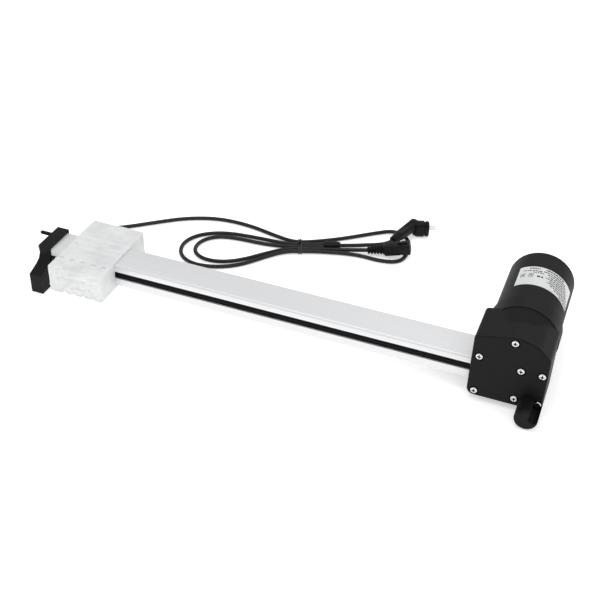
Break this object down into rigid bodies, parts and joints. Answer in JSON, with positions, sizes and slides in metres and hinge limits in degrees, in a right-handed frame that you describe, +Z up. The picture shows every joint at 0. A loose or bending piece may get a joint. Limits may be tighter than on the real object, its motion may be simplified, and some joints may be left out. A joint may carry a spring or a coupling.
{
  "type": "linear actuator",
  "caption": "In-line rail linear actuator: an aluminium rail with a screw-driven slider, an end bracket, and a worm gear housing with a transverse motor and corded plugs.",
  "frame": {"origin": "on the rear pivot's axis, where the pivot leaves the front face of the gear housing", "axes": "+X runs along the rail from the end bracket to the gear housing, +Y runs across it from the pivot to the motor, +Z up; the pivot points along -Y"},
  "size_m": [0.6151, 0.3171, 0.0961],
  "materials": {
    "anodised_aluminium": "satin anodised extrusion with fine lengthwise drawing lines",
    "black_nylon": "fine-grained moulded glass-filled nylon",
    "black_liner": "smooth extruded liner",
    "milky_nylon": "translucent natural nylon, ribbed and pebbled",
    "white_acetal": "machined acetal",
    "zinc_steel": "bright zinc plate",
    "bearing_steel": "ground",
    "core_steel": "laminated",
    "bronze": "sintered bronze",
    "cast_zinc": "as cast",
    "ferrite": "dull grey ferrite",
    "copper_wire": "enamelled winding",
    "carbon": "pressed carbon",
    "brown_board": "phenolic board",
    "green_board": "coated board",
    "label_film": "printed film, blank cells only",
    "cord_rubber": "smooth jacket",
    "connector_plastic": "moulded, faint sheen",
    "tinned_contact": "tinned brass",
    "tie_plastic": "plastic coated wire"
  },
  "bodies": {
    "frame": {"guide_rail": "anodised_aluminium", "slot_strip_near": "black_liner", "slot_strip_far": "black_liner", "end_bracket": "black_nylon", "bracket_peg": "black_nylon", "bracket_screws": "zinc_steel", "end_bush": "bronze", "gear_housing_front": "black_nylon", "gear_housing_rear": "black_nylon", "cover_screws": "zinc_steel", "motor_cover": "black_nylon", "motor_can": "zinc_steel", "field_magnets": "ferrite", "brush_holder": "brown_board", "carbon_brushes": "carbon", "rating_label": "label_film", "bearing_outer_rings": "bearing_steel", "bearing_balls": "bearing_steel", "bearing_blocks": "cast_zinc", "motor_bushes": "bronze", "switch_board": "green_board", "limit_switches": "black_liner", "terminal_board": "green_board", "cord_gland": "cord_rubber", "motor_cord": "cord_rubber", "loop_cord": "cord_rubber", "tail_cord": "cord_rubber", "twist_tie": "tie_plastic", "cord_splitter": "cord_rubber", "socket_body": "connector_plastic", "socket_contacts": "tinned_contact", "socket_relief": "cord_rubber", "plug_body": "connector_plastic", "plug_pins": "tinned_contact"},
    "carriage": {"slider_block": "milky_nylon", "glide_shoes": "white_acetal", "slider_screws": "zinc_steel", "drive_nut": "white_acetal"},
    "spindle": {"lead_screw": "bearing_steel", "worm_wheel": "white_acetal", "bearing_inner_rings": "bearing_steel"},
    "armature": {"motor_shaft": "bearing_steel", "armature_core": "core_steel", "armature_windings": "copper_wire", "commutator": "copper_wire", "motor_worm": "bearing_steel"}
  },
  "joints": [
    {"name": "slider_travel", "type": "slide", "parent": "frame", "child": "carriage", "axis": [1, 0, 0], "range_m": [-0.012, 0.35]},
    {"name": "spindle_spin", "type": "hinge", "parent": "frame", "child": "spindle", "pos_m": [-0.2855, 0.0296, 0.0202], "axis": [1, 0, 0], "range_deg": [-10501, 361]},
    {"name": "armature_spin", "type": "hinge", "parent": "frame", "child": "armature", "pos_m": [-0.0255, 0.0996, 0.0452], "axis": [0, 1, 0], "range_deg": [-315030, 10830]}
  ],
  "couplings": [
    {"joint": "spindle_spin", "follows": "slider_travel", "rad_per_m": -523.6},
    {"joint": "armature_spin", "follows": "slider_travel", "rad_per_m": -15708}
  ]
}
